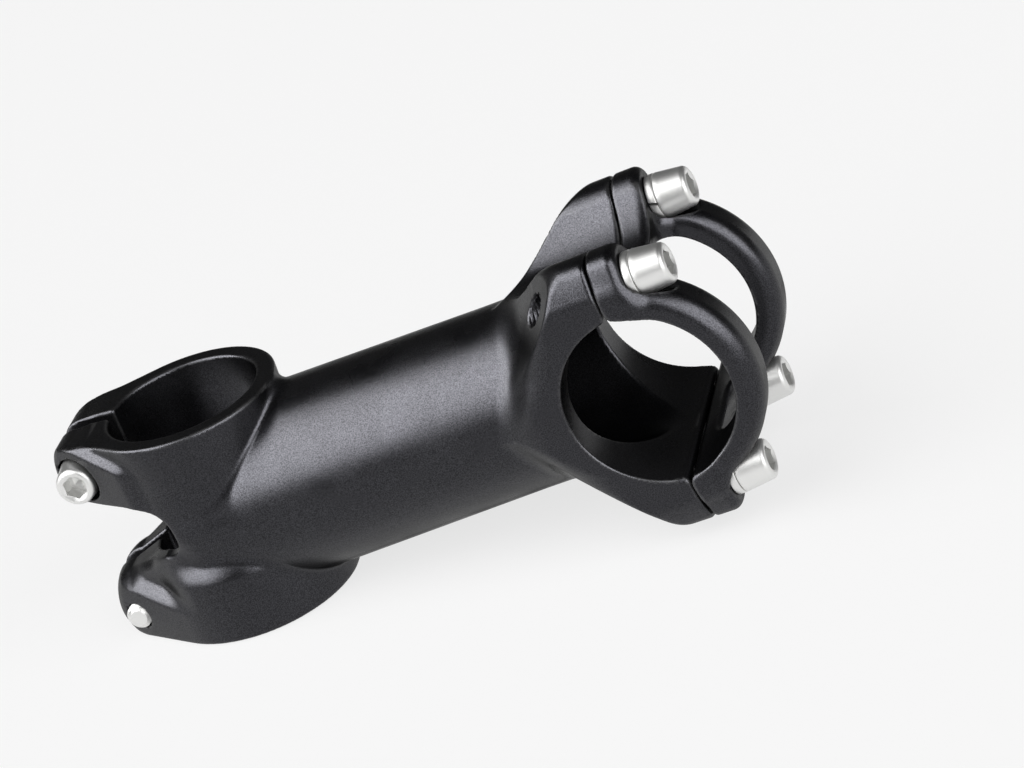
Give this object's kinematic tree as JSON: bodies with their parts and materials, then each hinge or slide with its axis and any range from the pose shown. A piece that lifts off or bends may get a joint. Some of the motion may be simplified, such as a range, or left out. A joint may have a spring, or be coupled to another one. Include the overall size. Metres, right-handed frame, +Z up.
{
  "type": "handlebar stem",
  "caption": "Threadless bicycle handlebar stem: a split steerer clamp, a hollow rising extension and a windowed bolt-on faceplate that grips the handlebar.",
  "frame": {"origin": "where the extension's axis crosses the steerer's axis, inside the steerer clamp", "axes": "+Z up along the steerer, +X forward to the handlebar, -Y the near side of the picture"},
  "size_m": [0.1344, 0.0408, 0.0561],
  "materials": {
    "satin_black_body": "satin black anodised, fine grained",
    "satin_black_faceplate": "satin black anodised, fine grained",
    "plated_bolt": "satin silver plating",
    "plated_washer": "satin silver plating"
  },
  "bodies": {
    "stem_body": {"stem_body": "satin_black_body"},
    "faceplate": {"faceplate": "satin_black_faceplate", "faceplate_washer_near_top": "plated_washer", "faceplate_washer_far_top": "plated_washer", "faceplate_washer_near_low": "plated_washer", "faceplate_washer_far_low": "plated_washer"},
    "faceplate_bolt_near_top": {"faceplate_bolt_near_top": "plated_bolt"},
    "faceplate_bolt_far_top": {"faceplate_bolt_far_top": "plated_bolt"},
    "faceplate_bolt_near_low": {"faceplate_bolt_near_low": "plated_bolt"},
    "faceplate_bolt_far_low": {"faceplate_bolt_far_low": "plated_bolt"},
    "pinch_washer_upper": {"pinch_washer_upper": "plated_washer"},
    "pinch_bolt_upper": {"pinch_bolt_upper": "plated_bolt"},
    "pinch_washer_lower": {"pinch_washer_lower": "plated_washer"},
    "pinch_bolt_lower": {"pinch_bolt_lower": "plated_bolt"}
  },
  "joints": [
    {"name": "faceplate_slide", "type": "slide", "parent": "stem_body", "child": "faceplate", "axis": [0.9925, 0, 0.1219], "range_m": [0, 0.0088]},
    {"name": "near_top_turn", "type": "hinge", "parent": "faceplate", "child": "faceplate_bolt_near_top", "pos_m": [0.08689, -0.01475, 0.03082], "axis": [0.9925, 0, 0.1219], "range_deg": [0, 3960]},
    {"name": "far_top_turn", "type": "hinge", "parent": "faceplate", "child": "faceplate_bolt_far_top", "pos_m": [0.08689, 0.01475, 0.03082], "axis": [0.9925, 0, 0.1219], "range_deg": [0, 3960]},
    {"name": "near_low_turn", "type": "hinge", "parent": "faceplate", "child": "faceplate_bolt_near_low", "pos_m": [0.09177, -0.01475, -0.00888], "axis": [0.9925, 0, 0.1219], "range_deg": [0, 3960]},
    {"name": "far_low_turn", "type": "hinge", "parent": "faceplate", "child": "faceplate_bolt_far_low", "pos_m": [0.09177, 0.01475, -0.00888], "axis": [0.9925, 0, 0.1219], "range_deg": [0, 3960]},
    {"name": "pinch_upper_slide", "type": "slide", "parent": "stem_body", "child": "pinch_washer_upper", "axis": [0, -1, 0], "range_m": [0, 0.0088]},
    {"name": "pinch_upper_turn", "type": "hinge", "parent": "pinch_washer_upper", "child": "pinch_bolt_upper", "pos_m": [-0.0205, 0, 0.0156], "axis": [0, -1, 0], "range_deg": [0, 3960]},
    {"name": "pinch_lower_slide", "type": "slide", "parent": "stem_body", "child": "pinch_washer_lower", "axis": [0, 1, 0], "range_m": [0, 0.0088]},
    {"name": "pinch_lower_turn", "type": "hinge", "parent": "pinch_washer_lower", "child": "pinch_bolt_lower", "pos_m": [-0.0205, 0, -0.0136], "axis": [0, 1, 0], "range_deg": [0, 3960]}
  ],
  "couplings": [
    {"joint": "near_top_turn", "follows": "faceplate_slide", "rad_per_m": 7854},
    {"joint": "far_top_turn", "follows": "faceplate_slide", "rad_per_m": 7854},
    {"joint": "near_low_turn", "follows": "faceplate_slide", "rad_per_m": 7854},
    {"joint": "far_low_turn", "follows": "faceplate_slide", "rad_per_m": 7854},
    {"joint": "pinch_upper_turn", "follows": "pinch_upper_slide", "rad_per_m": 7854},
    {"joint": "pinch_lower_turn", "follows": "pinch_lower_slide", "rad_per_m": 7854}
  ]
}
